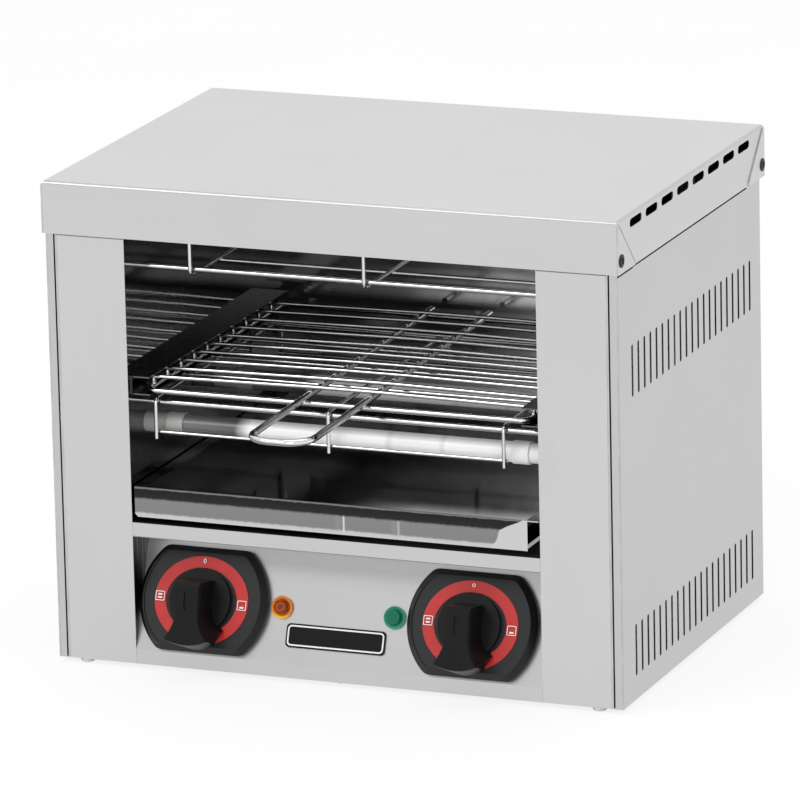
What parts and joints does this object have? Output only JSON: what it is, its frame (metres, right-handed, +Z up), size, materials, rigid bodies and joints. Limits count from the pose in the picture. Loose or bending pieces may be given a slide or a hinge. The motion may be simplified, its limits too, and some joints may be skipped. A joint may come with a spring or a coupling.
{
  "type": "one-tier electric bar toaster",
  "caption": "Stainless steel bar toaster with a sliding wire rack between guarded quartz tubes, a crumb tray and selector knobs on a sloping panel.",
  "frame": {"origin": "under the middle of the whole object, on the surface that it stands on", "axes": "+X to the right as seen from the front, +Y from the front to the back, +Z up"},
  "size_m": [0.4422, 0.426, 0.3594],
  "materials": {
    "casing_steel": "fine brushed stainless sheet",
    "inner_steel": "bright rolled stainless sheet",
    "chrome_wire": "bright chromed steel wire",
    "quartz": "frosted quartz",
    "ceramic": "glazed ceramic",
    "coil_wire": "dull heating wire",
    "black_plastic": "fine grained black",
    "red_ring": "smooth red print with plain marks",
    "amber_lens": "clear amber",
    "green_lens": "clear green",
    "plate": "smooth dark plate",
    "black_screw": "blackened steel",
    "steel_fixing": "plated steel",
    "foot_plastic": "grey nylon",
    "switch_body": "moulded",
    "terminal_body": "moulded",
    "wire_sleeve": "woven sleeve"
  },
  "bodies": {
    "casing": {"lid": "casing_steel", "left_side_panel": "casing_steel", "right_side_panel": "casing_steel", "left_inner_wall": "casing_steel", "right_inner_wall": "casing_steel", "control_panel": "casing_steel", "back_panel": "casing_steel", "base_plate": "casing_steel", "cavity_floor": "casing_steel", "cavity_back": "inner_steel", "cavity_roof": "inner_steel", "left_rack_runner": "inner_steel", "right_rack_runner": "inner_steel", "left_tray_runner": "inner_steel", "right_tray_runner": "inner_steel", "lid_screws": "black_screw", "back_screws": "steel_fixing", "base_rivets": "steel_fixing", "feet": "foot_plastic", "cable_bush": "black_plastic", "left_bezel": "black_plastic", "right_bezel": "black_plastic", "left_dial_ring": "red_ring", "right_dial_ring": "red_ring", "left_rotary_switch": "switch_body", "right_rotary_switch": "switch_body", "amber_lamp_lens": "amber_lens", "green_lamp_lens": "green_lens", "lamp_bodies": "switch_body", "front_plate": "plate", "lower_guard_wires": "chrome_wire", "lower_guard_rods": "chrome_wire", "lower_guard_cross_rods": "chrome_wire", "upper_guard_wires": "chrome_wire", "upper_guard_rods": "chrome_wire", "upper_guard_cross_rods": "chrome_wire", "lower_front_quartz_tube": "quartz", "lower_rear_quartz_tube": "quartz", "upper_front_quartz_tube": "quartz", "upper_rear_quartz_tube": "quartz", "lower_ceramic_ends": "ceramic", "upper_ceramic_ends": "ceramic", "lower_heating_coils": "coil_wire", "upper_heating_coils": "coil_wire", "terminal_block": "terminal_body", "left_wiring_loom": "wire_sleeve", "right_wiring_loom": "wire_sleeve"},
    "rack": {"rack_frame": "chrome_wire", "rack_handle": "chrome_wire", "rack_cross_wires": "chrome_wire"},
    "tray": {"crumb_tray": "inner_steel"},
    "left_selector": {"left_knob": "black_plastic", "left_spindle": "steel_fixing"},
    "right_selector": {"right_knob": "black_plastic", "right_spindle": "steel_fixing"}
  },
  "joints": [
    {"name": "rack_slide", "type": "slide", "parent": "casing", "child": "rack", "axis": [0, -1, 0], "range_m": [0, 0.24]},
    {"name": "tray_slide", "type": "slide", "parent": "casing", "child": "tray", "axis": [0, -1, 0], "range_m": [0, 0.25]},
    {"name": "left_knob_turn", "type": "hinge", "parent": "casing", "child": "left_selector", "pos_m": [-0.107, -0.08686, 0.05054], "axis": [0, -0.9367, 0.3502], "range_deg": [-90, 90]},
    {"name": "right_knob_turn", "type": "hinge", "parent": "casing", "child": "right_selector", "pos_m": [0.1009, -0.08686, 0.05054], "axis": [0, -0.9367, 0.3502], "range_deg": [-90, 90]}
  ]
}
